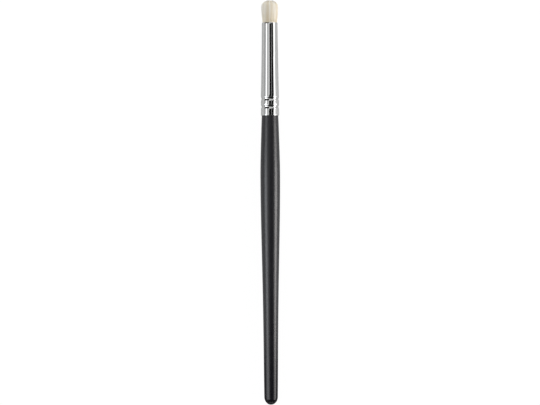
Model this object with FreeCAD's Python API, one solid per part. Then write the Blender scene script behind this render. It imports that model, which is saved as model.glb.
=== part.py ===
"""Slim eyeshadow brush, lying on a table.

The brush lies along X with its hair at +X. The origin is on the table, under the middle of the
brush's length, and the handle's swell touches the table. Sizes are in millimetres.
"""
import FreeCAD, Part
import math
import os

from FreeCAD import Vector

# What shows of each part, along the brush
TUFT_LENGTH = 9.7
FERRULE_LENGTH = 40.0
HANDLE_LENGTH = 125.3

# Ferrule, a drawn tube that tapers to its mouth
MOUTH_DIAMETER = 6.8
BAND_DIAMETER = 7.82
FERRULE_WALL = 0.3
TAPER_BOW = 0.06

# Crimps rolled into the ferrule's band, counted from its rear rim
CRIMP_COUNT = 2
CRIMP_FROM_RIM = 3.6
CRIMP_PITCH = 3.35
CRIMP_WIDTH = 1.8
CRIMP_DEPTH = 0.25
BAND_LEAD = 0.3

# Handle outline over its coat, with distances from the ferrule's rear rim or from the butt end
NECK_FLARE_DEGREES = 2.4
SHOULDER_DIAMETER = 7.98
SHOULDER_FROM_RIM = 12.5
SWELL_DIAMETER = 8.53
SWELL_FROM_RIM = 26.0
WAIST_DIAMETER = 6.97
WAIST_FROM_BUTT = 50.3
TAIL_DIAMETER = 5.86
TAIL_TAPER_DEGREES = 0.7
BUTT_DOME_LENGTH = 3.4

# Coat of the handle and its tenon, and the glue film that holds them in the ferrule
COAT_THICKNESS = 0.25
GLUE_FILM = 0.06
GLUE_FROM_RIM = 0.6
TENON_LENGTH = 14.0
TENON_CHAMFER = 0.6

# Hair bundle
BELLY_DIAMETER = 7.1
BELLY_FROM_MOUTH = 5.0
TUFT_DOME_LENGTH = 2.9
HAIR_CLEARANCE = 0.03
HAIR_IN_FERRULE = 12.0
TIE_DIAMETER = 4.9

# Thread wound round the root of the hair
THREAD_DIAMETER = 0.4
THREAD_GAP = 0.45
THREAD_TURNS = 5
THREAD_CLEARANCE = 0.02

# Glue plug round the root
PLUG_FLOOR = 2.5

# Stations along X
X_BUTT = -(HANDLE_LENGTH + FERRULE_LENGTH + TUFT_LENGTH) / 2
X_RIM = X_BUTT + HANDLE_LENGTH
X_MOUTH = X_RIM + FERRULE_LENGTH
X_TIP = X_MOUTH + TUFT_LENGTH
X_TENON = X_RIM + TENON_LENGTH
X_NOSE = X_TENON - TENON_CHAMFER
X_ROOT = X_MOUTH - HAIR_IN_FERRULE
X_BAND_FRONT = (X_RIM + CRIMP_FROM_RIM + (CRIMP_COUNT - 1) * CRIMP_PITCH
                + CRIMP_WIDTH / 2 + BAND_LEAD)

# Radii and depths that follow from the sizes above
AXIS_HEIGHT = SWELL_DIAMETER / 2
BAND_RADIUS = BAND_DIAMETER / 2
MOUTH_RADIUS = MOUTH_DIAMETER / 2
LIP_RADIUS = FERRULE_WALL / 2
COAT_INSET = FERRULE_WALL + GLUE_FILM
CORE_INSET = COAT_INSET + COAT_THICKNESS
TIE_RADIUS = TIE_DIAMETER / 2
THREAD_PITCH = THREAD_DIAMETER + THREAD_GAP
COIL_RADIUS = TIE_RADIUS + THREAD_DIAMETER / 2 + THREAD_CLEARANCE
POCKET_RADIUS = COIL_RADIUS + THREAD_DIAMETER / 2 + THREAD_CLEARANCE
TIE_LENGTH = THREAD_TURNS * THREAD_PITCH + 2 * THREAD_PITCH


def at(x, radius):
    """A point of a turned outline, at a station along the brush and a distance from its axis."""
    return Vector(x, 0, AXIS_HEIGHT + radius)


def line(start, end):
    """A straight edge."""
    return Part.LineSegment(start, end).toShape()


def arc(start, middle, end):
    """A circular edge through three points."""
    return Part.Arc(start, middle, end).toShape()


def curve(points, start_slope, end_slope):
    """A smooth edge through points, leaving the first and reaching the last at the given slopes."""
    heading = math.copysign(1, points[-1].x - points[0].x)
    spline = Part.BSplineCurve()
    spline.interpolate(
        Points=points,
        InitialTangent=Vector(heading, 0, heading * start_slope),
        FinalTangent=Vector(heading, 0, heading * end_slope),
    )
    return spline.toShape()


def dome(x_base, radius, x_pole):
    """A quarter of an ellipse, from the rim of a dome to its pole on the axis."""
    poles = [at(x_base, radius), at(x_pole, radius), at(x_pole, 0)]
    spline = Part.BSplineCurve()
    spline.buildFromPolesMultsKnots(poles, (3, 3), (0.0, 1.0), False, 2, (1.0, math.sqrt(0.5), 1.0))
    return spline.toShape()


def turned(edges):
    """The solid that a closed outline makes when it is turned about the brush's axis."""
    face = Part.Face(Part.Wire(edges))
    return face.revolve(Vector(0, 0, AXIS_HEIGHT), Vector(1, 0, 0), 360)


def taper_point(x, inset):
    """A point of the tapered wall, which bows in between band and mouth, moved in by an inset."""
    share = (x - X_BAND_FRONT) / (X_MOUTH - LIP_RADIUS - X_BAND_FRONT)
    cone = BAND_RADIUS + share * (MOUTH_RADIUS - BAND_RADIUS)
    bow = 4 * TAPER_BOW * share * (1 - share)
    return at(x, cone - bow - inset)


def taper_edge(x_rear, x_front, inset):
    """A stretch of the tapered wall, a parabola, moved in from the outside by an inset."""
    rear = taper_point(x_rear, inset)
    front = taper_point(x_front, inset)
    middle = taper_point((x_rear + x_front) / 2, inset)
    parabola = Part.BezierCurve()
    parabola.setPoles([rear, middle * 2 - (rear + front) / 2, front])
    return parabola.toShape()


def crimp_edges(x_middle, inset):
    """One rolled groove, from rear to front: a round shoulder, a round valley and a shoulder."""
    half = CRIMP_WIDTH / 2
    radius = (half ** 2 + CRIMP_DEPTH ** 2) / (4 * CRIMP_DEPTH)
    top = BAND_RADIUS - inset
    half_turn = math.asin(half / 2 / radius) / 2
    bulge = Vector(radius * math.sin(half_turn), 0, -radius * (1 - math.cos(half_turn)))
    rear = at(x_middle - half, top)
    front = at(x_middle + half, top)
    rear_bend = at(x_middle - half / 2, top - CRIMP_DEPTH / 2)
    front_bend = at(x_middle + half / 2, top - CRIMP_DEPTH / 2)
    mirrored = Vector(-bulge.x, 0, bulge.z)
    return [
        arc(rear, rear + bulge, rear_bend),
        arc(rear_bend, at(x_middle, top - CRIMP_DEPTH), front_bend),
        arc(front_bend, front + mirrored, front),
    ]


def wall_edges(x_rear, x_front, inset):
    """The ferrule's wall from a station on the band, over the crimps, to one on the taper."""
    top = BAND_RADIUS - inset
    edges = []
    x = x_rear
    for number in range(CRIMP_COUNT):
        x_crimp = X_RIM + CRIMP_FROM_RIM + number * CRIMP_PITCH
        edges.append(line(at(x, top), at(x_crimp - CRIMP_WIDTH / 2, top)))
        edges += crimp_edges(x_crimp, inset)
        x = x_crimp + CRIMP_WIDTH / 2
    edges.append(line(at(x, top), at(X_BAND_FRONT, top)))
    edges.append(taper_edge(X_BAND_FRONT, x_front, inset))
    return edges


def ferrule():
    """The crimped tube, with a rounded lip at its mouth and at its rear rim."""
    x_rear = X_RIM + LIP_RADIUS
    x_front = X_MOUTH - LIP_RADIUS
    rim = arc(at(x_rear, BAND_RADIUS - FERRULE_WALL), at(X_RIM, BAND_RADIUS - LIP_RADIUS),
              at(x_rear, BAND_RADIUS))
    mouth = arc(at(x_front, MOUTH_RADIUS), at(X_MOUTH, MOUTH_RADIUS - LIP_RADIUS),
                at(x_front, MOUTH_RADIUS - FERRULE_WALL))
    outside = wall_edges(x_rear, x_front, 0)
    bore = wall_edges(x_rear, x_front, FERRULE_WALL)
    return turned([rim] + outside + [mouth] + bore[::-1])


def stick_edges(depth):
    """The handle's outline from the tenon's nose to the butt's pole, at a depth under its coat."""
    tenon = wall_edges(X_RIM, X_NOSE, COAT_INSET + depth)
    neck = at(X_RIM, BAND_RADIUS - COAT_INSET - depth)
    shoulder = at(X_RIM - SHOULDER_FROM_RIM, SHOULDER_DIAMETER / 2 - depth)
    swell = at(X_RIM - SWELL_FROM_RIM, SWELL_DIAMETER / 2 - depth)
    waist = at(X_BUTT + WAIST_FROM_BUTT, WAIST_DIAMETER / 2 - depth)
    tail = at(X_BUTT + BUTT_DOME_LENGTH, TAIL_DIAMETER / 2 - depth)
    flare = -math.tan(math.radians(NECK_FLARE_DEGREES))
    taper = math.tan(math.radians(TAIL_TAPER_DEGREES))
    return tenon[::-1] + [
        curve([neck, shoulder, swell], flare, 0),
        curve([swell, waist, tail], 0, taper),
        dome(tail.x, TAIL_DIAMETER / 2 - depth, X_BUTT + depth),
    ]


def handle_lacquer():
    """The coat, a thin shell over the handle and its tenon, open at the tenon's nose."""
    outside = stick_edges(0)
    inside = stick_edges(COAT_THICKNESS)
    butt = line(at(X_BUTT, 0), at(X_BUTT + COAT_THICKNESS, 0))
    nose = line(taper_point(X_NOSE, CORE_INSET), taper_point(X_NOSE, COAT_INSET))
    return turned(outside + [butt] + inside[::-1] + [nose])


def handle_core():
    """The turned wooden handle, with a tenon that the crimps have pressed into."""
    shoulder = taper_point(X_NOSE, CORE_INSET)
    tip = shoulder + Vector(TENON_CHAMFER, 0, -TENON_CHAMFER)
    nose = [line(at(X_TENON, 0), tip), line(tip, shoulder)]
    axis = line(at(X_BUTT + COAT_THICKNESS, 0), at(X_TENON, 0))
    return turned(nose + stick_edges(COAT_THICKNESS) + [axis])


def handle_glue():
    """The film of glue between the coated tenon and the ferrule's bore."""
    x_rear = X_RIM + GLUE_FROM_RIM
    outside = wall_edges(x_rear, X_NOSE, FERRULE_WALL)
    inside = wall_edges(x_rear, X_NOSE, COAT_INSET)
    front = line(taper_point(X_NOSE, FERRULE_WALL), taper_point(X_NOSE, COAT_INSET))
    rear = line(at(x_rear, BAND_RADIUS - COAT_INSET), at(x_rear, BAND_RADIUS - FERRULE_WALL))
    return turned(outside + [front] + inside[::-1] + [rear])


def hair_tuft():
    """The hair bundle: tied in at its root, full at the mouth, fuller at the belly, then domed."""
    x_tie = X_ROOT + TIE_LENGTH
    x_belly = X_MOUTH + BELLY_FROM_MOUTH
    x_dome = X_TIP - TUFT_DOME_LENGTH
    root = at(X_ROOT, TIE_RADIUS)
    tie = at(x_tie, TIE_RADIUS)
    mouth = at(X_MOUTH - LIP_RADIUS, MOUTH_RADIUS - FERRULE_WALL - HAIR_CLEARANCE)
    belly = at(x_belly, BELLY_DIAMETER / 2)
    crown = at(x_dome, BELLY_DIAMETER / 2)
    return turned([
        line(at(X_ROOT, 0), root),
        line(root, tie),
        curve([tie, mouth, belly], 0, 0),
        line(belly, crown),
        dome(x_dome, BELLY_DIAMETER / 2, X_TIP),
        line(at(X_TIP, 0), at(X_ROOT, 0)),
    ])


def root_glue():
    """The glue plug: a cup that fills the bore, with a pocket for the hair root and its thread."""
    x_rear = X_ROOT - PLUG_FLOOR
    x_front = X_ROOT + TIE_LENGTH
    outer_rear = taper_point(x_rear, FERRULE_WALL)
    outer_front = taper_point(x_front, FERRULE_WALL)
    return turned([
        line(at(x_rear, 0), outer_rear),
        taper_edge(x_rear, x_front, FERRULE_WALL),
        line(outer_front, at(x_front, POCKET_RADIUS)),
        line(at(x_front, POCKET_RADIUS), at(X_ROOT, POCKET_RADIUS)),
        line(at(X_ROOT, POCKET_RADIUS), at(X_ROOT, 0)),
        line(at(X_ROOT, 0), at(x_rear, 0)),
    ])


def coil_point(turns):
    """The thread's centre after a number of turns round the root."""
    angle = 2 * math.pi * turns
    x = X_ROOT + THREAD_PITCH + turns * THREAD_PITCH
    return Vector(x, COIL_RADIUS * math.sin(angle), AXIS_HEIGHT + COIL_RADIUS * math.cos(angle))


def coil_heading(turns):
    """The unit vector along the thread after a number of turns."""
    angle = 2 * math.pi * turns
    around = 2 * math.pi * COIL_RADIUS
    return Vector(THREAD_PITCH, around * math.cos(angle), -around * math.sin(angle)).normalize()


def bend(start, corner, end):
    """The circular edge that touches both legs of a corner, whose legs are equal."""
    chord_middle = (start + end) / 2
    weight = (end - start).Length / 2 / (corner - start).Length
    return arc(start, (chord_middle + corner * weight) / (1 + weight), end)


def biarc(turns, step):
    """Two circular edges, tangent to each other, that carry the thread on by a part of a turn."""
    start, end = coil_point(turns), coil_point(turns + step)
    leaving, reaching = coil_heading(turns), coil_heading(turns + step)
    span = end - start
    both = leaving + reaching
    square = 4 - both.dot(both)
    along = span.dot(both)
    leg = (math.sqrt(along ** 2 + square * span.dot(span)) - along) / square
    first_corner = start + leaving * leg
    second_corner = end - reaching * leg
    joint = (first_corner + second_corner) / 2
    return [bend(start, first_corner, joint), bend(joint, second_corner, end)]


def binding_thread():
    """The thread, one unbroken tube wound round the hair root."""
    step = 0.25
    edges = []
    for number in range(round(THREAD_TURNS / step)):
        edges += biarc(number * step, step)
    section = Part.Circle(coil_point(0), coil_heading(0), THREAD_DIAMETER / 2).toShape()
    return Part.Wire(edges).makePipeShell([Part.Wire(section)], True, False)


def thread_gap():
    """The least gap between neighbouring turns of the thread, measured on points along it."""
    per_turn = 48
    points = [coil_point(number / per_turn) for number in range(THREAD_TURNS * per_turn + 1)]
    gaps = []
    for number, point in enumerate(points):
        for other in points[number + per_turn // 2:]:
            gaps.append((other - point).Length - THREAD_DIAMETER)
    return min(gaps)


os.makedirs("parts", exist_ok=True)
for make in (hair_tuft, binding_thread, root_glue, ferrule, handle_glue, handle_core, handle_lacquer):
    piece = make()
    piece.exportStep(f"parts/{make.__name__}.step")
    print(make.__name__, "valid" if piece.isValid() else "not valid", round(piece.Volume, 2), "mm3")
print("least gap between turns of the thread:", round(thread_gap(), 3), "mm")
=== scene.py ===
"""An eyeshadow brush on a pale studio floor: domed hair tuft, crimped chrome ferrule, black handle."""
import logging
import math
from dataclasses import dataclass
from enum import Enum
from functools import reduce
from typing import Any, Mapping, Sequence

import bpy
import numpy as np
from mathutils import Matrix, Vector


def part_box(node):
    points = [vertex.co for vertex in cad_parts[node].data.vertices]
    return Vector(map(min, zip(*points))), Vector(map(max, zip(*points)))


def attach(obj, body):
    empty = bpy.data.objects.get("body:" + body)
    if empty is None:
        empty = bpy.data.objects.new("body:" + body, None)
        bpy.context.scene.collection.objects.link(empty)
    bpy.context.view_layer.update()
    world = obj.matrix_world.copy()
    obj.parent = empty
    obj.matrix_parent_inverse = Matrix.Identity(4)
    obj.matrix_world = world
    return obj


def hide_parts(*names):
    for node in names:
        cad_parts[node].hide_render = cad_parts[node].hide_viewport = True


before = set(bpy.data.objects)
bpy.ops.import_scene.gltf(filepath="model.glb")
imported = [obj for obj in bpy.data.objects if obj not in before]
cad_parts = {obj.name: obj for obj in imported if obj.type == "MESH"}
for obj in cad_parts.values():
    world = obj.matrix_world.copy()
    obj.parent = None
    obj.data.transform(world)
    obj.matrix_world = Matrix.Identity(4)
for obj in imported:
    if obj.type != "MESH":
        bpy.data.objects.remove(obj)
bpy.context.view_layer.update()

LOG = logging.getLogger("brush")
BODY = "root"
MM = 0.001
STRAND_MAP = "OFBake"
COURSE_STEP = 0.01
MERGE_WITHIN = 2e-6
POLE_RADIUS = 5e-7
SMOOTH_BELOW = math.radians(40)
RIM_LAP = 0.2 * MM

Colour = tuple[float, float, float, float]
Tint = tuple[float, float, float]
Range = tuple[float, float]

COOL_WHITE: Tint = (0.93, 0.96, 1.0)
WARM_WHITE: Tint = (1.0, 0.965, 0.955)
CREAM_WHITE: Tint = (1.0, 0.97, 0.90)


class Slot(Enum):
    """The record's material slots of the pieces that are built here."""

    HAIR = "hair"
    CHROME = "chrome"
    LACQUER = "lacquer"


class CadNode(Enum):
    """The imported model's nodes."""

    TUFT = "hair_tuft"
    THREAD = "binding_thread"
    ROOT_GLUE = "root_glue"
    FERRULE = "ferrule"
    HANDLE_GLUE = "handle_glue"
    CORE = "handle_core"
    COAT = "handle_lacquer"


@dataclass(frozen=True)
class Value:
    """A number socket of a shader that takes part in Python arithmetic."""

    shader: "Shader"
    socket: bpy.types.NodeSocket

    def _math(self, operation: str, *terms: "Value | float") -> "Value":
        """Adds a Math node.

        Args:
            operation: The node's operation.
            terms: Its inputs in order.

        Returns:
            The node's result.
        """
        node = self.shader.add("ShaderNodeMath", {"operation": operation}, dict(enumerate(terms)))
        return Value(self.shader, node.outputs[0])

    def __add__(self, other: "Value | float") -> "Value":
        """The sum."""
        return self._math("ADD", self, other)

    __radd__ = __add__

    def __sub__(self, other: "Value | float") -> "Value":
        """The difference."""
        return self._math("SUBTRACT", self, other)

    def __rsub__(self, other: float) -> "Value":
        """The difference, with a number in front."""
        return self._math("SUBTRACT", other, self)

    def __mul__(self, other: "Value | float") -> "Value":
        """The product."""
        return self._math("MULTIPLY", self, other)

    __rmul__ = __mul__

    def __pow__(self, other: "Value | float") -> "Value":
        """The power."""
        return self._math("POWER", self, other)

    def greater(self, other: "Value") -> "Value":
        """The larger of two values."""
        return self._math("MAXIMUM", self, other)

    def bearing_from(self, up: "Value") -> "Value":
        """The angle whose tangent is this value over another one, in radians."""
        return self._math("ARCTAN2", self, up)

    def near(self, middle: float, reach: float) -> "Value":
        """One where the value lies within a reach of a middle, and else nought."""
        return self._math("COMPARE", self, middle, reach)

    def rise(self, low: float, high: float) -> "Value":
        """A smooth step from nought at the low end to one at the high end.

        Args:
            low: Where the step begins.
            high: Where it ends. It may lie below the low end, which turns the step round.

        Returns:
            The step.
        """
        node = self.shader.add(
            "ShaderNodeMapRange",
            {"interpolation_type": "SMOOTHSTEP", "clamp": True},
            {"Value": self, "From Min": min(low, high), "From Max": max(low, high)},
        )
        step = Value(self.shader, node.outputs["Result"])
        return step if low < high else 1 - step


class Shader:
    """A node tree that is being filled."""

    def __init__(self, tree: bpy.types.NodeTree) -> None:
        """Empties a tree.

        Args:
            tree: The node tree of a material or of the world.
        """
        self.tree = tree
        tree.nodes.clear()

    def add(
        self,
        kind: str,
        settings: Mapping[str, Any] | None = None,
        sockets: Mapping[str | int, Any] | None = None,
    ) -> bpy.types.Node:
        """Adds any node.

        Args:
            kind: The node's type.
            settings: Its properties, set first. A ramp's stops are pairs of place and colour.
            sockets: Values or links of its inputs, by name or number.

        Returns:
            The node.
        """
        node = self.tree.nodes.new(kind)
        for name, setting in (settings or {}).items():
            if name == "stops":
                self._set_stops(node.color_ramp, setting)
            else:
                setattr(node, name, setting)
        for key, given in (sockets or {}).items():
            if isinstance(given, Value):
                self.tree.links.new(given.socket, node.inputs[key])
            elif isinstance(given, bpy.types.NodeSocket):
                self.tree.links.new(given, node.inputs[key])
            else:
                node.inputs[key].default_value = given
        return node

    @staticmethod
    def _set_stops(ramp: bpy.types.ColorRamp, stops: Sequence[tuple[float, Colour]]) -> None:
        """Sets a ramp's stops.

        Args:
            ramp: The ramp.
            stops: Pairs of place and colour, at least two.
        """
        while len(ramp.elements) < len(stops):
            ramp.elements.new(1.0)
        for element, (place, colour) in zip(ramp.elements, stops):
            element.position = place
            element.color = colour

    def place(self, stretch: tuple[float, float, float] = (1, 1, 1)) -> bpy.types.NodeSocket:
        """The point on the piece in metres, each axis multiplied by a stretch."""
        point = self.add("ShaderNodeTexCoord").outputs["Object"]
        return self.add("ShaderNodeMapping", None, {"Vector": point, "Scale": stretch}).outputs[0]

    def along(self) -> Value:
        """The place along the brush, in metres."""
        split = self.add("ShaderNodeSeparateXYZ", None, {0: self.place()})
        return Value(self, split.outputs["X"])

    def noise(
        self,
        vector: bpy.types.NodeSocket,
        scale: float,
        detail: float = 3.0,
        rough: float = 0.5,
        twist: float = 0.0,
    ) -> Value:
        """A cloudy pattern between nought and one.

        Args:
            vector: Where the pattern is read.
            scale: Its clouds per metre.
            detail: How many finer layers it has.
            rough: How strong the finer layers are.
            twist: How far it is distorted.

        Returns:
            The pattern.
        """
        sockets = {"Vector": vector, "Scale": scale, "Detail": detail, "Roughness": rough,
                   "Distortion": twist}
        return Value(self, self.add("ShaderNodeTexNoise", None, sockets).outputs["Fac"])

    def scratches(self, vector: bpy.types.NodeSocket, scale: float, width: float) -> Value:
        """Thin lines: the borders between the cells of a stretched pattern.

        Args:
            vector: Where the pattern is read, stretched along the lines.
            scale: Its cells per metre.
            width: The lines' width as a share of a cell.

        Returns:
            One on the lines, and nought between them.
        """
        cells = self.add("ShaderNodeTexVoronoi", {"feature": "DISTANCE_TO_EDGE"},
                         {"Vector": vector, "Scale": scale})
        return Value(self, cells.outputs["Distance"]).rise(width, 0)

    def blend(
        self,
        share: Value | bpy.types.NodeSocket,
        first: Colour | bpy.types.NodeSocket,
        second: Colour | bpy.types.NodeSocket,
        how: str = "MIX",
    ) -> bpy.types.NodeSocket:
        """Mixes two colours.

        Args:
            share: How much of the second colour there is.
            first: The first colour.
            second: The second colour.
            how: The Mix node's blend type.

        Returns:
            The mixed colour.
        """
        settings = {"data_type": "RGBA", "blend_type": how}
        return self.add("ShaderNodeMix", settings, {0: share, 6: first, 7: second}).outputs[2]

    def bump(self, height: Value, depth: float) -> bpy.types.NodeSocket:
        """The normal of a relief between nought and one that is so many metres deep."""
        return self.add("ShaderNodeBump", None, {"Height": height, "Distance": depth}).outputs[0]

    def surface(self, sockets: Mapping[str, Any]) -> None:
        """Ends the tree in a Principled shader with the given sockets."""
        shader = self.add("ShaderNodeBsdfPrincipled", None, sockets)
        self.add("ShaderNodeOutputMaterial", None, {"Surface": shader.outputs[0]})


def new_material(name: str) -> tuple[bpy.types.Material, Shader]:
    """Makes an empty node material.

    Args:
        name: Its name.

    Returns:
        The material and its shader tree.
    """
    material = bpy.data.materials.new(name)
    material.use_nodes = True
    return material, Shader(material.node_tree)


@dataclass(frozen=True)
class ChromePlate:
    """Polished chrome plate on a drawn tube, with painted shade darkening its grooves and a few small
    spots.
    """

    grooves: tuple[float, ...]
    bright: Colour = (0.60, 0.605, 0.60, 1)
    dull_and_shaded: Colour = (0.44, 0.43, 0.41, 1)
    groove_reach: float = 0.55 * MM

    def material(self) -> bpy.types.Material:
        """Builds the material.

        Returns:
            The material.
        """
        material, shader = new_material("chrome_plate")
        haze = shader.noise(shader.place(), 420, 5, 0.6)
        spots = shader.noise(shader.place(), 1900, 3, 0.6).rise(0.60, 0.78)
        rings = shader.noise(shader.place((7000, 180, 180)), 1, 3, 0.6)
        lines = shader.scratches(shader.place((90, 2600, 2600)), 1, 0.02)
        along = shader.along()
        closeness = 1 / self.groove_reach ** 2
        # Painted shade: the colour darkens towards each crimp's valley, where the groove falls into
        # shade; small spots are added on top.
        groove_shade = [((along - groove) ** 2 * closeness).rise(1, 0) for groove in self.grooves]
        groove_shade_and_spots = reduce(Value.greater, groove_shade) * (0.10 + 0.40 * haze) + spots * 0.08
        colour = shader.blend(groove_shade_and_spots, self.bright, self.dull_and_shaded)
        roughness = 0.015 + 0.02 * haze + 0.02 * rings + 0.06 * groove_shade_and_spots + 0.03 * lines
        relief = 0.6 * rings + 0.4 * haze
        shader.surface({
            "Base Color": colour,
            "Metallic": 1.0,
            "Roughness": roughness,
            "Normal": shader.bump(relief, 0.00006 * MM),
        })
        return material


@dataclass(frozen=True)
class SatinLacquer:
    """Black lacquer rubbed to a satin sheen, with faint handling marks."""

    butt: float
    black: Colour = (0.0045, 0.0045, 0.0070, 1)
    worn: Colour = (0.012, 0.0118, 0.0145, 1)
    handled_length: float = 60 * MM

    def material(self) -> bpy.types.Material:
        """Builds the material.

        Returns:
            The material.
        """
        material, shader = new_material("satin_lacquer")
        clouds = shader.noise(shader.place((0.35, 1, 1)), 260, 4, 0.55)
        peel = shader.noise(shader.place(), 1500, 2, 0.45)
        dust = shader.noise(shader.place(), 5200, 2, 0.5).rise(0.66, 0.80)
        lengthwise = shader.scratches(shader.place((45, 900, 900)), 1, 0.012)
        across = shader.scratches(shader.place((700, 260, 260)), 1, 0.008)
        marks = lengthwise * 0.6 + across * 0.4
        handled = shader.along().rise(self.butt + self.handled_length, self.butt)
        colour = shader.blend(clouds * 0.5 + dust * 0.3 + marks * 0.4, self.black, self.worn)
        roughness = 0.30 + 0.06 * clouds + 0.06 * marks - 0.13 * handled
        relief = 0.75 * peel + 0.15 * clouds - 0.25 * marks
        shader.surface({
            "Base Color": colour,
            "Roughness": roughness,
            "IOR": 1.5,
            "Normal": shader.bump(relief, 0.0003 * MM),
        })
        return material


@dataclass(frozen=True)
class SoftHair:
    """Cream goat hair: each strand has its own tone, and its colour darkens towards the root, partly the
    hair's own warmer root and partly painted shade near the ferrule's mouth.
    """

    tan: Colour = (0.76, 0.66, 0.48, 1)
    cream: Colour = (0.93, 0.88, 0.77, 1)
    pale: Colour = (0.98, 0.96, 0.91, 1)
    root_painted_shade: Colour = (0.90, 0.86, 0.78, 1)
    tip_shade: Colour = (1.0, 1.0, 1.0, 1)

    def material(self) -> bpy.types.Material:
        """Builds the material, which reads a strand's tone and length from its own map.

        Returns:
            The material.
        """
        material, shader = new_material("soft_hair")
        strand = shader.add("ShaderNodeUVMap", {"uv_map": STRAND_MAP}).outputs[0]
        split = shader.add("ShaderNodeSeparateXYZ", None, {0: strand})
        tone = Value(shader, split.outputs["X"])
        length = Value(shader, split.outputs["Y"])
        stops = [(0.0, self.tan), (0.45, self.cream), (1.0, self.pale)]
        own = shader.add("ShaderNodeValToRGB", {"stops": stops}, {0: tone}).outputs[0]
        # Painted shade along each strand: darker near the mouth and the strand's own colour at the tip.
        shade = shader.blend(length.rise(0.05, 0.75), self.root_painted_shade, self.tip_shade)
        grey = shader.noise(strand, 23, 2)
        colour = shader.blend(0.8 + 0.4 * grey, own, shade, "MULTIPLY")
        shader.surface({
            "Base Color": colour,
            "Roughness": 0.46 + 0.18 * grey,
            "IOR": 1.5,
            "Specular IOR Level": 0.35,
            "Sheen Weight": 0.15,
            "Sheen Roughness": 0.5,
        })
        return material


@dataclass(frozen=True)
class TurnedWood:
    """Close-grained hardwood, turned along its grain."""

    light: Colour = (0.55, 0.36, 0.19, 1)
    dark: Colour = (0.34, 0.19, 0.09, 1)

    def material(self) -> bpy.types.Material:
        """Builds the material.

        Returns:
            The material.
        """
        material, shader = new_material("turned_wood")
        grain = shader.noise(shader.place((25, 900, 900)), 1, 5, 0.6, 0.4)
        pores = shader.noise(shader.place((260, 5200, 5200)), 1, 2).rise(0.62, 0.72)
        colour = shader.blend(grain.rise(0.3, 0.7) * 0.8 + pores * 0.2, self.light, self.dark)
        shader.surface({
            "Base Color": colour,
            "Roughness": 0.5 + 0.2 * grain,
            "Normal": shader.bump(grain - pores, 0.02 * MM),
        })
        return material


@dataclass(frozen=True)
class CuredResin:
    """Amber glue, set hard, with small bubbles."""

    clear: Colour = (0.48, 0.30, 0.09, 1)
    milky: Colour = (0.66, 0.52, 0.28, 1)

    def material(self) -> bpy.types.Material:
        """Builds the material.

        Returns:
            The material.
        """
        material, shader = new_material("cured_resin")
        flow = shader.noise(shader.place(), 700, 4, 0.5, 0.8)
        bubbles = shader.noise(shader.place(), 6000, 1).rise(0.66, 0.74)
        shader.surface({
            "Base Color": shader.blend(flow * 0.6 + bubbles * 0.4, self.clear, self.milky),
            "Roughness": 0.16 + 0.2 * flow + 0.2 * bubbles,
            "Normal": shader.bump(flow - bubbles, 0.03 * MM),
        })
        return material


@dataclass(frozen=True)
class WaxedThread:
    """Waxed cotton, twisted from fine plies."""

    light: Colour = (0.80, 0.77, 0.69, 1)
    dark: Colour = (0.52, 0.48, 0.39, 1)

    def material(self) -> bpy.types.Material:
        """Builds the material.

        Returns:
            The material.
        """
        material, shader = new_material("waxed_thread")
        plies = shader.noise(shader.place((9000, 2600, 2600)), 1, 3, 0.6, 0.5)
        fuzz = shader.noise(shader.place(), 12000, 2)
        shader.surface({
            "Base Color": shader.blend(plies.rise(0.35, 0.65), self.dark, self.light),
            "Roughness": 0.5 + 0.3 * fuzz,
            "Normal": shader.bump(plies + 0.4 * fuzz, 0.05 * MM),
        })
        return material


@dataclass(frozen=True)
class PaleFloor:
    """A matt white studio floor that stays nearly white and keeps the brush's shadow. Behind the butt,
    where only mirror rays see it, its colour is painted dark as a painted reflection of dark
    surroundings.
    """

    white: Colour = (0.72, 0.72, 0.72, 1)
    shade: Colour = (0.20, 0.20, 0.20, 1)
    shade_from: float = -0.055
    shade_to: float = -0.08
    camera_lift: float = 0.90
    mirror_lift: float = 0.22
    camera_white: float = 1.06

    def material(self) -> bpy.types.Material:
        """Builds the material.

        Returns:
            The material.
        """
        material, shader = new_material("pale_floor")
        path = shader.add("ShaderNodeLightPath")
        camera = Value(shader, path.outputs["Is Camera Ray"])
        glossy = Value(shader, path.outputs["Is Glossy Ray"])
        through = Value(shader, path.outputs["Is Transmission Ray"])
        mirror = glossy.greater(through)
        # Painted reflection: the floor behind the butt turns dark for mirror rays only, so the lacquer
        # and chrome mirror darkness there.
        painted_dark_behind = shader.along().rise(self.shade_from, self.shade_to) * mirror
        seen = (camera * self.camera_lift).greater((mirror - painted_dark_behind) * self.mirror_lift)
        colour = shader.blend(painted_dark_behind, self.white, self.shade)
        matt = shader.add("ShaderNodeBsdfDiffuse", None, {"Color": colour})
        glow = shader.add("ShaderNodeEmission", None,
                          {"Color": (1, 1, 1, 1), "Strength": self.camera_white})
        both = shader.add("ShaderNodeMixShader", None,
                          {0: seen, 1: matt.outputs[0], 2: glow.outputs[0]})
        shader.add("ShaderNodeOutputMaterial", None, {"Surface": both.outputs[0]})
        return material


@dataclass(frozen=True)
class Station:
    """One ring of a turned outline: its place along the line and its radius."""

    x: float
    radius: float


def arc(middle: Station, reach: float, rise: float, turns: Sequence[float]) -> list[Station]:
    """Stations of an ellipse, at angles from its half-axis across the brush to the one along it."""
    return [Station(middle.x + reach * math.sin(a), middle.radius + rise * math.cos(a)) for a in turns]


def clear_selection() -> None:
    """Leaves edit mode and deselects everything."""
    if bpy.context.object and bpy.context.object.mode != "OBJECT":
        bpy.ops.object.mode_set(mode="OBJECT")
    bpy.ops.object.select_all(action="DESELECT")


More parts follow.
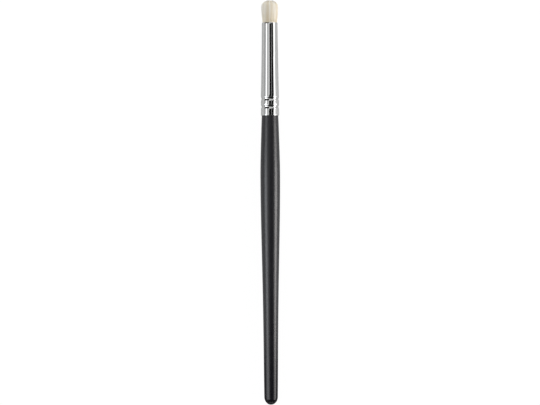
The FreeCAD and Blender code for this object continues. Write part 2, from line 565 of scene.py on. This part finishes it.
@dataclass(frozen=True)
class Lathe:
    """Turns pieces about a line along X, by extruding and scaling a ring from station to station."""

    height: float
    segments: int

    def start(self, name: str, first: Station) -> bpy.types.Object:
        """Adds the first ring and goes into edit mode, with the ring selected.

        Args:
            name: The piece's name.
            first: The ring's station.

        Returns:
            The piece.
        """
        clear_selection()
        bpy.ops.mesh.primitive_circle_add(
            vertices=self.segments,
            radius=first.radius,
            location=(first.x, 0, self.height),
            rotation=(0, math.pi / 2, 0),
        )
        piece = bpy.context.active_object
        piece.name = name
        piece.data.name = name
        bpy.ops.object.transform_apply(location=True, rotation=True, scale=True)
        bpy.ops.object.mode_set(mode="EDIT")
        bpy.ops.mesh.select_all(action="SELECT")
        return piece

    def extend(self, outline: Sequence[Station]) -> None:
        """Draws the selected ring out along an outline.

        Args:
            outline: The stations, of which the ring stands at the first.
        """
        for last, following in zip(outline, outline[1:]):
            step = (following.x - last.x, 0, 0)
            bpy.ops.mesh.extrude_region_move(TRANSFORM_OT_translate={"value": step})
            scale = following.radius / last.radius
            middle = (following.x, 0, self.height)
            bpy.ops.transform.resize(value=(1, scale, scale), center_override=middle)

    def select_ring(self, piece: bpy.types.Object, station: Station) -> None:
        """Selects the ring at a station again.

        Args:
            piece: The piece, in edit mode.
            station: Where the ring is.
        """
        bpy.ops.mesh.select_all(action="DESELECT")
        bpy.ops.object.mode_set(mode="OBJECT")
        for vertex in piece.data.vertices:
            radius = math.hypot(vertex.co.y, vertex.co.z - self.height)
            off = max(abs(vertex.co.x - station.x), abs(radius - station.radius))
            vertex.select = off < MERGE_WITHIN
        bpy.ops.object.mode_set(mode="EDIT")
        bpy.ops.mesh.select_mode(type="VERT")

    def finish(self) -> None:
        """Closes seams and poles, turns the faces outwards and smooths the shading."""
        bpy.ops.mesh.select_all(action="SELECT")
        bpy.ops.mesh.remove_doubles(threshold=MERGE_WITHIN)
        bpy.ops.mesh.normals_make_consistent(inside=False)
        bpy.ops.object.mode_set(mode="OBJECT")
        bpy.ops.object.shade_smooth_by_angle(angle=SMOOTH_BELOW)

    def turn(self, name: str, *outlines: Sequence[Station]) -> bpy.types.Object:
        """Turns a whole piece.

        Args:
            name: The piece's name.
            outlines: Its outlines, which all leave from the same ring.

        Returns:
            The piece.
        """
        piece = self.start(name, outlines[0][0])
        for number, outline in enumerate(outlines):
            if number:
                self.select_ring(piece, outline[0])
            self.extend(outline)
        self.finish()
        return piece


def dress(piece: bpy.types.Object, material: bpy.types.Material, slot: Slot, *nodes: CadNode) -> None:
    """Gives a piece its finish and its place in the frame.

    Args:
        piece: The piece.
        material: Its finish.
        slot: The record's slot for that finish.
        nodes: The CAD nodes that it stands for.
    """
    piece.data.materials.clear()
    piece.data.materials.append(material)
    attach(piece, BODY)
    if nodes:
        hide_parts(*[node.value for node in nodes])
    LOG.info("%s: %d faces, slot %s", piece.name, len(piece.data.polygons), slot.value)


@dataclass(frozen=True)
class Bow:
    """A smooth line through three stations that leaves and ends at given slopes."""

    first: Station
    middle: Station
    last: Station
    leave: float
    end: float

    def _middle_slope(self) -> float:
        """The slope at the middle station that makes the bend run on through it.

        Returns:
            The slope.
        """
        rear = self.middle.x - self.first.x
        front = self.last.x - self.middle.x
        pull = 3 * ((self.middle.radius - self.first.radius) / rear ** 2
                    + (self.last.radius - self.middle.radius) / front ** 2)
        return (pull - self.leave / rear - self.end / front) / (2 / rear + 2 / front)

    def radius(self, x: float) -> float:
        """The line's radius at a place.

        Args:
            x: The place, between the first and the last station.

        Returns:
            The radius.
        """
        bend = self._middle_slope()
        if (x - self.middle.x) * (self.last.x - self.middle.x) <= 0:
            start, stop, slopes = self.first, self.middle, (self.leave, bend)
        else:
            start, stop, slopes = self.middle, self.last, (bend, self.end)
        span = stop.x - start.x
        t = (x - start.x) / span
        rise = 3 * t ** 2 - 2 * t ** 3
        leaving = (t ** 3 - 2 * t ** 2 + t) * span * slopes[0]
        reaching = (t ** 3 - t ** 2) * span * slopes[1]
        return start.radius + rise * (stop.radius - start.radius) + leaving + reaching

    def stations(self, count: int) -> list[Station]:
        """Evenly spaced stations along the line, both ends among them."""
        places = np.linspace(self.first.x, self.last.x, count + 1)
        return [Station(float(x), self.radius(float(x))) for x in places]


@dataclass
class Ferrule:
    """The tapered tube with two rolled crimps and a rounded lip at each end."""

    rim: float
    mouth: float
    band_radius: float
    height: float
    mouth_radius: float = 3.4 * MM
    wall: float = 0.3 * MM
    taper_bow: float = 0.06 * MM
    edge_length: float = 0.6 * MM
    edge_drop: float = 0.2 * MM
    crimp_count: int = 2
    crimp_from_rim: float = 3.75 * MM
    crimp_pitch: float = 3.43 * MM
    crimp_half: float = 0.9 * MM
    crimp_depth: float = 0.25 * MM
    band_lead: float = 0.3 * MM
    segments: int = 160
    crimp_rings: int = 24
    taper_rings: int = 36
    lip_rings: int = 10
    edge_rings: int = 12

    @property
    def crimps(self) -> tuple[float, ...]:
        """The places of the crimps' valleys."""
        first = self.rim + self.crimp_from_rim
        return tuple(first + number * self.crimp_pitch for number in range(self.crimp_count))

    @property
    def band_front(self) -> float:
        """Where the straight band ends and the taper begins."""
        return self.crimps[-1] + self.crimp_half + self.band_lead

    @property
    def lip(self) -> float:
        """The radius of the rounded lips."""
        return self.wall / 2

    def radius(self, x: float) -> float:
        """The outside radius at a place.

        Args:
            x: The place along the brush.

        Returns:
            The radius.
        """
        if x > self.band_front:
            share = (x - self.band_front) / (self.mouth - self.lip - self.band_front)
            cone = self.band_radius + share * (self.mouth_radius - self.band_radius)
            return cone - 4 * self.taper_bow * share * (1 - share)
        return self.band_radius - max(self._dip(abs(x - crimp)) for crimp in self.crimps)

    def _dip(self, off: float) -> float:
        """How deep a crimp is, of which shoulders and valley are equal arcs.

        Args:
            off: The distance from the crimp's valley.

        Returns:
            The depth.
        """
        half, depth = self.crimp_half, self.crimp_depth
        bend = (half ** 2 + depth ** 2) / (4 * depth)
        if off >= half:
            return 0.0
        if off > half / 2:
            return bend - math.sqrt(bend ** 2 - (half - off) ** 2)
        return depth - bend + math.sqrt(bend ** 2 - off ** 2)

    def wall_stations(self, start: float, stop: float, inset: float) -> list[Station]:
        """Stations of the wall from rear to front, close together over the crimps.

        Args:
            start: The rear end.
            stop: The front end.
            inset: How far inside the outer skin they lie.

        Returns:
            The stations.
        """
        places = {start, start + self.lip / 2, stop, self.band_front}
        for crimp in self.crimps:
            rear, front = crimp - self.crimp_half, crimp + self.crimp_half
            places.update(np.linspace(rear, front, self.crimp_rings + 1).tolist())
        taper_end = self.mouth - self.lip
        places.update(np.linspace(self.band_front, taper_end, self.taper_rings + 1).tolist())
        kept = sorted(x for x in places if start <= x <= stop)
        return [Station(x, self.radius(x) - inset) for x in kept]

    def build(self) -> bpy.types.Object:
        """Turns the tube, wall and lips in one closed outline.

        Returns:
            The piece.
        """
        rear, front = self.rim + self.lip, self.mouth - self.edge_length
        half = np.linspace(0, math.pi, self.lip_rings + 1)[1:-1].tolist()
        rim = arc(Station(rear, self.band_radius - self.lip), -self.lip, -self.lip, half)
        outside = self.wall_stations(rear, front, 0)
        top = outside[-1].radius - self.edge_drop
        quarter = np.linspace(0, math.pi / 2, self.edge_rings + 1)[1:].tolist()
        rolled = arc(Station(front, top), self.edge_length, self.edge_drop, quarter)
        lip = self.wall - self.edge_drop
        bore = self.wall_stations(rear, self.mouth - lip, self.wall)[::-1]
        onward = [math.pi / 2 + a for a in quarter[:-1]]
        tucked = arc(Station(self.mouth - lip, bore[0].radius + lip), lip, lip, onward)
        outline = outside + rolled + tucked + bore + rim + outside[:1]
        return Lathe(self.height, self.segments).turn("ferrule_tube", outline)

    def make(self) -> None:
        """Builds the tube and dresses it."""
        dress(self.build(), ChromePlate(grooves=self.crimps).material(), Slot.CHROME, CadNode.FERRULE)


@dataclass
class Handle:
    """The lacquer coat over the wooden handle, from the tenon in the ferrule to the round butt."""

    ferrule: Ferrule
    butt: float
    swell_radius: float
    height: float
    neck_inset: float = 0.32 * MM
    neck_flare: float = math.radians(2.4)
    shoulder_radius: float = 3.99 * MM
    shoulder_from_rim: float = 12.3 * MM
    swell_from_rim: float = 25.8 * MM
    waist_radius: float = 3.485 * MM
    waist_from_butt: float = 50.3 * MM
    tail_radius: float = 2.93 * MM
    tail_taper: float = math.radians(0.7)
    dome_length: float = 3.4 * MM
    coat: float = 0.25 * MM
    tenon_length: float = 13.4 * MM
    segments: int = 128
    front_rings: int = 26
    rear_rings: int = 60
    dome_rings: int = 18

    def outline(self, depth: float) -> list[Station]:
        """The handle's stations from the tenon's nose to the butt's pole.

        Args:
            depth: How far under the outer skin they lie.

        Returns:
            The stations.
        """
        rim = self.ferrule.rim
        tenon = self.ferrule.wall_stations(rim, rim + self.tenon_length, self.neck_inset + depth)
        neck = tenon[0]
        shoulder = Station(rim - self.shoulder_from_rim, self.shoulder_radius - depth)
        swell = Station(rim - self.swell_from_rim, self.swell_radius - depth)
        waist = Station(self.butt + self.waist_from_butt, self.waist_radius - depth)
        tail = Station(self.butt + self.dome_length, self.tail_radius - depth)
        front = Bow(neck, shoulder, swell, -math.tan(self.neck_flare), 0)
        rear = Bow(swell, waist, tail, 0, math.tan(self.tail_taper))
        quarter = np.linspace(0, math.pi / 2, self.dome_rings + 1)[1:].tolist()
        dome = arc(Station(tail.x, 0), depth - self.dome_length, tail.radius, quarter)
        dome[-1] = Station(dome[-1].x, POLE_RADIUS)
        bows = front.stations(self.front_rings)[1:] + rear.stations(self.rear_rings)[1:]
        return tenon[::-1] + bows + dome

    def build(self) -> bpy.types.Object:
        """Turns the coat, with its outer skin and its inner one.

        Returns:
            The piece.
        """
        outside = self.outline(0)
        inside = outside[:1] + self.outline(self.coat)
        return Lathe(self.height, self.segments).turn("handle_coat", outside, inside)

    def make(self) -> None:
        """Builds the coat and dresses it."""
        dress(self.build(), SatinLacquer(butt=self.butt).material(), Slot.LACQUER, CadNode.COAT)


@dataclass(frozen=True)
class SkinCourse:
    """The courses of strands that lie on the bundle's outline, with one entry for each strand."""

    tuft: "HairTuft"
    bearing: np.ndarray
    lean: np.ndarray
    end: np.ndarray
    share: np.ndarray
    lift: np.ndarray
    sway: np.ndarray
    phase: np.ndarray

    def at(self, t: np.ndarray) -> np.ndarray:
        """The strands' places at a share of their length.

        Args:
            t: The shares, one row for all strands.

        Returns:
            A place for each strand and share.
        """
        root = self.tuft.root_depth
        heights, radii = self.tuft.course(t * (self.end + root)[:, None] - root)
        radii = radii * (self.share[:, None] + self.lift[:, None] * t ** 2)
        wave = np.sin(self.tuft.wave_turn * t + self.phase[:, None]) * t
        lean = self.lean[:, None] * t ** self.tuft.lean_power
        bearing = self.bearing[:, None] + lean + self.sway[:, None] * wave
        return self.tuft.places(heights, radii * np.cos(bearing), radii * np.sin(bearing))


@dataclass(frozen=True)
class CrownCourse:
    """The courses of short strands that stand up through the crown, with one entry for each strand."""

    tuft: "HairTuft"
    foot: np.ndarray
    lean: np.ndarray
    top: np.ndarray

    def at(self, t: np.ndarray) -> np.ndarray:
        """The strands' places at a share of their length.

        Args:
            t: The shares, one row for all strands.

        Returns:
            A place for each strand and share.
        """
        heights = self.top[:, None] - (1 - t) * self.tuft.crown_hair_length
        late = t ** self.tuft.lean_power
        across = [self.foot[:, k, None] + self.lean[:, k, None] * late for k in (0, 1)]
        return self.tuft.places(heights, *across)


@dataclass
class HairTuft:
    """The hair bundle: strands that stand in the ferrule's mouth and close in a round crown."""

    mouth: float
    root: float
    tip: float
    belly_radius: float
    height: float
    mouth_radius: float = 3.07 * MM
    mouth_flare: float = 0.13
    belly_from_mouth: float = 5.2 * MM
    crown_length: float = 2.6 * MM
    tie_radius: float = 2.42 * MM
    tie_length: float = 5.9 * MM
    heart_share: float = 0.96
    heart_segments: int = 96
    heart_rings: int = 14
    heart_tones: Range = (0.3, 0.7)
    root_depth: float = 1.4 * MM
    strand_radius: float = 0.042 * MM
    strand_sides: int = 3
    strand_rings: int = 11
    strand_thickness: Range = (0.8, 1.2)
    thin_from: float = 0.65
    thin_by: float = 0.75
    thin_power: float = 1.8
    lean_power: float = 1.7
    wave_turn: float = 7.5
    wave_sway: float = 0.012
    tone_turn: float = 0.006
    map_margin: Range = (0.01, 0.005)
    skin_hairs: int = 2700
    skin_depth: Range = (0.965, 0.995)
    skin_ends: Range = (0.3, 1)
    skin_lift: float = 0.012
    locks: int = 34
    lock_pull: float = 0.5
    lock_pull_spread: Range = (0.5, 1.3)
    lock_tone: float = 0.75
    crown_hairs: int = 2300
    crown_hair_length: float = 2.4 * MM
    crown_spread: float = 0.72
    crown_fineness: float = 0.9
    crown_tones: Range = (0.2, 1)
    crown_lean: float = 0.02
    crown_gather: float = 0.06
    tip_proud: float = 0.06 * MM
    tip_ragged: float = 0.06 * MM
    tip_ragged_shape: float = 1.5
    stray_hairs: int = 40
    stray_fineness: float = 0.6
    stray_lift: float = 0.05
    seed: int = 5507

    @property
    def crown_base(self) -> float:
        """How far above the mouth the crown begins."""
        return self.tip - self.mouth - self.crown_length

    @property
    def crown_bend(self) -> float:
        """How far a strand runs over the crown for each radian that it turns."""
        return (self.crown_length + self.belly_radius) / 2

    def side(self, height: np.ndarray) -> np.ndarray:
        """The bundle's radius, which grows from the mouth to the belly.

        Args:
            height: Heights above the mouth.

        Returns:
            The radii.
        """
        span = self.belly_from_mouth
        t = np.clip(height / span, 0, 1)
        rise = 3 * t ** 2 - 2 * t ** 3
        leaving = (t ** 3 - 2 * t ** 2 + t) * span * self.mouth_flare
        grown = self.mouth_radius + rise * (self.belly_radius - self.mouth_radius) + leaving
        return grown + np.minimum(height, 0) * self.mouth_flare

    def course(self, travel: np.ndarray) -> tuple[np.ndarray, np.ndarray]:
        """Follows the bundle's outline up its side and on over its crown.

        Args:
            travel: Distances along the outline, from the mouth.

        Returns:
            The heights above the mouth, and the radii.
        """
        turn = np.clip((travel - self.crown_base) / self.crown_bend, 0, math.pi / 2)
        heights = np.minimum(travel, self.crown_base) + self.crown_length * np.sin(turn)
        return heights, self.side(heights) * np.cos(turn)

    def places(self, heights: np.ndarray, y: np.ndarray, z: np.ndarray) -> np.ndarray:
        """Points of the bundle, from heights above the mouth and distances from its middle."""
        return np.stack((self.mouth + heights, y, self.height + z), axis=2)

    def strand(self) -> tuple[np.ndarray, list[list[int]]]:
        """Models one strand of unit length and thickness: a thin rod with a fine tip.

        Returns:
            Its points, and the points of each face.
        """
        outline = []
        for t in np.linspace(0, 1, self.strand_rings + 1).tolist():
            thinned = max(0, (t - self.thin_from) / (1 - self.thin_from)) ** self.thin_power
            outline.append(Station(t, 1 - self.thin_by * thinned))
        outline[-1] = Station(1.0, POLE_RADIUS)
        model = Lathe(0, self.strand_sides).turn("strand", outline)
        points = np.array([vertex.co for vertex in model.data.vertices])
        faces = [list(face.vertices) for face in model.data.polygons]
        bpy.data.objects.remove(model)
        return points, faces

    def grow(
        self,
        name: str,
        rng: np.random.Generator,
        course: SkinCourse | CrownCourse,
        fineness: float,
        tones: np.ndarray,
    ) -> bpy.types.Object:
        """Copies the strand along every course.

        Args:
            name: The piece's name.
            rng: The random source.
            course: The strands' courses.
            fineness: The strands' thickness as a share of the usual one.
            tones: The strands' tones.

        Returns:
            The piece.
        """
        points, faces = self.strand()
        count = len(tones)
        t = points[:, 0][None, :]
        middle = course.at(t)
        ahead = course.at(t + COURSE_STEP) - course.at(t - COURSE_STEP)
        ahead /= np.linalg.norm(ahead, axis=2, keepdims=True)
        outward = middle * (0, 1, 1) - (0, 0, self.height)
        outward -= ahead * (outward * ahead).sum(axis=2, keepdims=True)
        outward /= np.linalg.norm(outward, axis=2, keepdims=True)
        sideways = np.cross(ahead, outward)
        spin = rng.uniform(0, 2 * math.pi, (count, 1))
        thick = self.strand_radius * fineness * rng.uniform(*self.strand_thickness, (count, 1))
        first = thick * (points[:, 1] * np.cos(spin) - points[:, 2] * np.sin(spin))
        second = thick * (points[:, 1] * np.sin(spin) + points[:, 2] * np.cos(spin))
        places = middle + first[:, :, None] * outward + second[:, :, None] * sideways
        every = [[corner + number * len(points) for corner in face]
                 for number in range(count) for face in faces]
        mesh = bpy.data.meshes.new(name)
        mesh.from_pydata(places.reshape(-1, 3).tolist(), [], every)
        mesh.polygons.foreach_set("use_smooth", np.ones(len(every), dtype=bool))
        piece = bpy.data.objects.new(name, mesh)
        bpy.context.scene.collection.objects.link(piece)
        side = np.arctan2(points[:, 2], points[:, 1]) / math.pi
        self.map(piece, tones[:, None] + self.tone_turn * side, np.tile(points[:, 0], (count, 1)))
        return piece

    def map(self, piece: bpy.types.Object, tones: np.ndarray, lengths: np.ndarray) -> None:
        """Writes tones and places along the strands into a piece's map.

        Args:
            piece: The piece.
            tones: A tone for each point.
            lengths: A share of the strand's length for each point.
        """
        mesh = piece.data
        u = np.clip(tones.ravel(), self.map_margin[0], 1 - self.map_margin[0])
        v = np.clip(lengths.ravel(), self.map_margin[1], 1 - self.map_margin[1])
        corners = np.empty(len(mesh.loops), dtype=np.int32)
        mesh.loops.foreach_get("vertex_index", corners)
        layer = mesh.uv_layers.new(name=STRAND_MAP)
        layer.data.foreach_set("uv", np.stack((u[corners], v[corners]), axis=1).ravel())
        mesh.update()

    def heart(self, rng: np.random.Generator) -> bpy.types.Object:
        """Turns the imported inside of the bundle, from the tied root to just under the crown.

        Args:
            rng: The random source.

        Returns:
            The piece.
        """
        turns = np.linspace(0, math.pi / 2, self.heart_rings + 1)
        sides = np.linspace(0, self.crown_base, self.heart_rings + 1)[:-1]
        travel = np.concatenate((sides, self.crown_base + turns * self.crown_bend))
        heights, radii = self.course(travel)
        heights = np.minimum(heights, self.crown_base + (heights - self.crown_base) * self.heart_share)
        rings = [Station(self.mouth + h, max(r * self.heart_share, POLE_RADIUS))
                 for h, r in zip(heights.tolist(), radii.tolist())]
        tie = self.root + self.tie_length
        below = [rings[0], Station(tie, self.tie_radius), Station(self.root, self.tie_radius),
                 Station(self.root, POLE_RADIUS)]
        piece = Lathe(self.height, self.heart_segments).turn("tuft_heart", rings, below)
        points = np.array([vertex.co for vertex in piece.data.vertices])
        bearing = np.arctan2(points[:, 2] - self.height, points[:, 1]) / (2 * math.pi)
        column = np.rint(bearing * self.heart_segments).astype(int) % self.heart_segments
        tones = rng.uniform(*self.heart_tones, self.heart_segments)[column]
        self.map(piece, tones, (points[:, 0] - self.mouth + self.root_depth) / (self.tip - self.mouth))
        return piece

    def skin(
        self,
        name: str,
        rng: np.random.Generator,
        count: int,
        fineness: float,
        lift: float,
    ) -> bpy.types.Object:
        """Lays strands over the heart, gathered into locks.

        Args:
            name: The piece's name.
            rng: The random source.
            count: How many strands there are.
            fineness: The strands' thickness as a share of the usual one.
            lift: How far the strands' ends may stand off, as a share of the radius.

        Returns:
            The piece.
        """
        bearing = rng.uniform(-math.pi, math.pi, count)
        middles = rng.uniform(-math.pi, math.pi, self.locks)
        off = (middles[None, :] - bearing[:, None] + math.pi) % (2 * math.pi) - math.pi
        nearest = np.abs(off).argmin(axis=1)
        course = SkinCourse(
            self,
            bearing,
            off[np.arange(count), nearest] * self.lock_pull * rng.uniform(*self.lock_pull_spread, count),
            self.crown_base + self.crown_bend * np.arccos(rng.uniform(*self.skin_ends, count)),
            rng.uniform(*self.skin_depth, count),
            rng.uniform(-lift / 2, lift, count),
            rng.normal(0, self.wave_sway, count),
            rng.uniform(0, 2 * math.pi, count),
        )
        tones = self.lock_tone * rng.uniform(0, 1, self.locks)[nearest]
        tones += (1 - self.lock_tone) * rng.uniform(0, 1, count)
        return self.grow(name, rng, course, fineness, tones)

    def crown(self, rng: np.random.Generator) -> bpy.types.Object:
        """Stands short strands up through the crown.

        Args:
            rng: The random source.

        Returns:
            The piece.
        """
        count = self.crown_hairs
        reach = np.sqrt(rng.uniform(0, self.crown_spread, count))
        bearing = rng.uniform(-math.pi, math.pi, count)
        foot = np.stack((np.cos(bearing), np.sin(bearing)), axis=1) * reach[:, None]
        tops = self.crown_base + self.crown_length * np.sqrt(1 - reach ** 2) + self.tip_proud
        tops -= rng.gamma(self.tip_ragged_shape, self.tip_ragged, count)
        lean = rng.normal(0, self.crown_lean, (count, 2)) - self.crown_gather * foot
        course = CrownCourse(self, foot * self.belly_radius, lean * self.belly_radius, tops)
        tones = rng.uniform(*self.crown_tones, count)
        return self.grow("tuft_crown", rng, course, self.crown_fineness, tones)

    def make(self) -> None:
        """Builds the heart, lays and stands the strands, and dresses them."""
        rng = np.random.default_rng(self.seed)
        finish = SoftHair().material()
        dress(self.heart(rng), finish, Slot.HAIR, CadNode.TUFT)
        dress(self.skin("tuft_skin", rng, self.skin_hairs, 1.0, self.skin_lift), finish, Slot.HAIR)
        dress(self.crown(rng), finish, Slot.HAIR)
        strays = self.skin("tuft_strays", rng, self.stray_hairs, self.stray_fineness, self.stray_lift)
        dress(strays, finish, Slot.HAIR)


@dataclass(frozen=True)
class InnerPieces:
    """The CAD pieces inside the brush, which stay and get their finishes."""

    def make(self) -> None:
        """Dresses the wooden core, both glue joints and the thread."""
        resin = CuredResin().material()
        finishes = {
            CadNode.CORE: TurnedWood().material(),
            CadNode.ROOT_GLUE: resin,
            CadNode.HANDLE_GLUE: resin,
            CadNode.THREAD: WaxedThread().material(),
        }
        for node, finish in finishes.items():
            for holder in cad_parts[node.value].material_slots:
                holder.material = finish
            LOG.info("%s: finish %s", node.value, finish.name)


@dataclass(frozen=True)
class Softbox:
    """A studio lamp over the brush, with its bearing from straight up towards the view's right.

    A lamp that isn't mirrored gives light, but doesn't show in the metal.
    """

    name: str
    bearing: float
    spread: float
    rear: float
    front: float
    radiance: float
    tint: Tint
    mirrored: bool = True
    distance: float = 0.45

    def make(self, height: float) -> None:
        """Adds the lamp, facing the brush.

        Args:
            height: The height of the brush's axis.
        """
        turn = math.radians(self.bearing)
        width = 2 * self.distance * math.tan(math.radians(self.spread) / 2)
        length = self.front - self.rear
        place = Vector(((self.front + self.rear) / 2, -self.distance * math.sin(turn),
                        height + self.distance * math.cos(turn)))
        clear_selection()
        bpy.ops.object.light_add(type="AREA", location=place, rotation=(turn, 0, 0))
        lamp = bpy.context.active_object
        lamp.name = self.name
        lamp.visible_camera = False
        lamp.visible_glossy = self.mirrored
        lamp.data.shape = "RECTANGLE"
        lamp.data.size = length
        lamp.data.size_y = width
        lamp.data.color = self.tint
        lamp.data.energy = self.radiance * math.pi * length * width


@dataclass(frozen=True)
class Patch:
    """A dark or bright patch of the surroundings, between two bearings and two slants.

    Where it leans, its bearings grow by so many degrees for each degree of slant. One that isn't
    mirrored gives light, but doesn't show in the metal.
    """

    left: float
    right: float
    rear: float
    front: float
    level: float
    lean: float = 0.0
    mirrored: bool = True

    def cover(self, bearing: Value, slant: Value) -> Value:
        """One inside the patch, and nought outside it.

        Args:
            bearing: A ray's bearing, in radians.
            slant: The sine of its slant towards the tip.

        Returns:
            The patch.
        """
        middle = math.radians(self.left + self.right) / 2
        reach = math.radians(self.right - self.left) / 2
        low, high = math.sin(math.radians(self.rear)), math.sin(math.radians(self.front))
        upright = bearing - slant * self.lean
        return upright.near(middle, reach) * slant.near((low + high) / 2, (high - low) / 2)


@dataclass(frozen=True)
class Sky:
    """Pale surroundings with dark flags overhead, between which a thin gap of light is left."""

    level: float = 0.85
    backdrop: float = 0.97
    patches: tuple[Patch, ...] = (
        # A grey card on the left, with a bright opening behind and a dark edge in front
        Patch(-89, -26, -80, 12.5, 0.56),
        Patch(-44, -25, -30, -3, 1.7),
        Patch(-42, -26, 3.4, 27, 0.03, 7.0),
        # Dark flags overhead, with the thin gap between them
        Patch(-13, 0, 0, 3.4, 0.03),
        Patch(-9.9, 12.5, -14, 27, 0.012, 1.7),
        Patch(15.3, 39.8, -14, 27, 0.008, 1.7),
        # The flags' rear ends, which the handle mirrors
        Patch(0, 44, -80, -1, 0.03),
        Patch(-12, 25.6, -80, -11, 0.04),
        # Dark edges in front and a dark wall behind, which the crimps mirror
        Patch(-85, -15, 12.5, 64, 0.04),
        Patch(78, 90, 14, 64, 0.10),
        Patch(-90, 90, -62, -30, 0.03),
        # Bright windows in front, which light the crown of the hair
        Patch(-90, -35, 65, 90, 3.4, mirrored=False),
        Patch(-35, 48, 65, 90, 1.6, mirrored=False),
        Patch(48, 90, 65, 90, 6.0, mirrored=False),
    )

    def make(self) -> None:
        """Builds the world, of which the camera sees the plain backdrop only."""
        world = bpy.data.worlds.new("studio_surroundings")
        world.use_nodes = True
        bpy.context.scene.world = world
        shader = Shader(world.node_tree)
        heading = shader.add("ShaderNodeTexCoord").outputs["Generated"]
        split = shader.add("ShaderNodeSeparateXYZ", None, {0: heading})
        slant = Value(shader, split.outputs["X"])
        up = Value(shader, split.outputs["Z"])
        bearing = (Value(shader, split.outputs["Y"]) * -1.0).bearing_from(up)
        level: Value | float = self.level
        path = shader.add("ShaderNodeLightPath")
        unmirrored = 1 - Value(shader, path.outputs["Is Glossy Ray"])
        for patch in self.patches:
            cover = patch.cover(bearing, slant)
            if not patch.mirrored:
                cover = cover * unmirrored
            level = level + (patch.level - level) * cover
        camera = Value(shader, path.outputs["Is Camera Ray"])
        level = level + (self.backdrop - level) * camera
        ground = shader.add("ShaderNodeBackground", None, {"Color": (1, 1, 1, 1), "Strength": level})
        shader.add("ShaderNodeOutputWorld", None, {"Surface": ground.outputs[0]})


@dataclass(frozen=True)
class PhotoView:
    """The camera straight above, framed so that the brush's two ends fall on given pixels."""

    tip_pixel: tuple[float, float] = (269.6, 0.25)
    butt_pixel: tuple[float, float] = (271.1, 404.7)
    image: tuple[float, float] = (540, 405)
    lens: float = 150.0
    sensor: float = 36.0
    near: float = 0.01

    def make(self, butt: float, tip: float, height: float) -> None:
        """Adds the camera and makes it the scene's.

        Args:
            butt: Where the brush's rear end is.
            tip: Where its front end is.
            height: The height of its axis.
        """
        right = self.tip_pixel[0] - self.butt_pixel[0]
        upward = self.butt_pixel[1] - self.tip_pixel[1]
        pixel = (tip - butt) / math.hypot(right, upward)
        roll = math.atan2(right, upward)
        across = Vector((math.sin(roll), -math.cos(roll), 0))
        up = Vector((math.cos(roll), math.sin(roll), 0))
        off_right = (self.tip_pixel[0] + self.butt_pixel[0] - self.image[0]) / 2
        off_up = (self.image[1] - self.tip_pixel[1] - self.butt_pixel[1]) / 2
        distance = self.image[0] * pixel * self.lens / self.sensor
        place = Vector(((tip + butt) / 2, 0, height + distance))
        place -= (across * off_right + up * off_up) * pixel
        clear_selection()
        bpy.ops.object.camera_add()
        camera = bpy.context.active_object
        camera.name = "photo_camera"
        turned = Matrix((across, up, Vector((0, 0, 1)))).transposed()
        camera.matrix_world = Matrix.Translation(place) @ turned.to_4x4()
        camera.data.lens = self.lens
        camera.data.sensor_width = self.sensor
        camera.data.clip_start = self.near
        bpy.context.scene.camera = camera


@dataclass(frozen=True)
class Studio:
    """The floor, the lamps, the surroundings and the camera."""

    height: float
    floor_size: float = 8.0
    lamps: tuple[Softbox, ...] = (
        Softbox("left_mid_softbox", -47.6, 14.5, 0.050, 0.137, 2.2, COOL_WHITE),
        Softbox("left_rear_softbox", -55.0, 26.0, -0.083, 0.050, 5.7, COOL_WHITE),
        Softbox("left_tail_softbox", -58.0, 42.0, -0.356, -0.083, 1.5, COOL_WHITE),
        Softbox("right_front_softbox", 71.0, 16.0, 0.154, 0.45, 3.9, WARM_WHITE),
        Softbox("right_mid_softbox_1", 67.0, 13.0, 0.105, 0.154, 2.2, WARM_WHITE),
        Softbox("right_mid_softbox_2", 63.75, 15.5, 0.078, 0.105, 2.2, WARM_WHITE),
        Softbox("right_mid_softbox_3", 61.75, 14.5, 0.054, 0.078, 2.2, WARM_WHITE),
        Softbox("right_rear_softbox", 70.0, 26.0, -0.083, 0.054, 10.1, WARM_WHITE),
        Softbox("right_tail_softbox", 76.0, 30.0, -0.356, -0.083, 2.05, WARM_WHITE),
        Softbox("hair_fill", 12.0, 42.0, 0.15, 0.45, 1.14, CREAM_WHITE, False),
    )

    def make(self) -> None:
        """Builds the studio."""
        bpy.context.scene.view_settings.view_transform = "Standard"
        clear_selection()
        bpy.ops.mesh.primitive_plane_add(size=self.floor_size)
        floor = bpy.context.active_object
        floor.name = "studio_floor"
        floor.data.materials.append(PaleFloor().material())
        for lamp in self.lamps:
            lamp.make(self.height)
        Sky().make()
        LOG.info("studio: floor, %d softboxes and surroundings", len(self.lamps))


def main() -> None:
    """Builds the studio and the brush, piece by piece."""
    logging.basicConfig(level=logging.INFO, format="%(name)s: %(message)s")
    coat_low, coat_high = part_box(CadNode.COAT.value)
    tube_low, tube_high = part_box(CadNode.FERRULE.value)
    hair_low, hair_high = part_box(CadNode.TUFT.value)
    swell_radius = (coat_high.z - coat_low.z) / 2
    height = coat_low.z + swell_radius
    Studio(height).make()
    PhotoView().make(coat_low.x, hair_high.x, height)
    band_radius = (tube_high.z - tube_low.z) / 2
    ferrule = Ferrule(tube_low.x - RIM_LAP, tube_high.x, band_radius, height)
    ferrule.make()
    Handle(ferrule, coat_low.x, swell_radius, height).make()
    belly_radius = (hair_high.z - hair_low.z) / 2
    HairTuft(tube_high.x, hair_low.x, hair_high.x, belly_radius, height).make()
    InnerPieces().make()


if __name__ == "__main__":
    main()
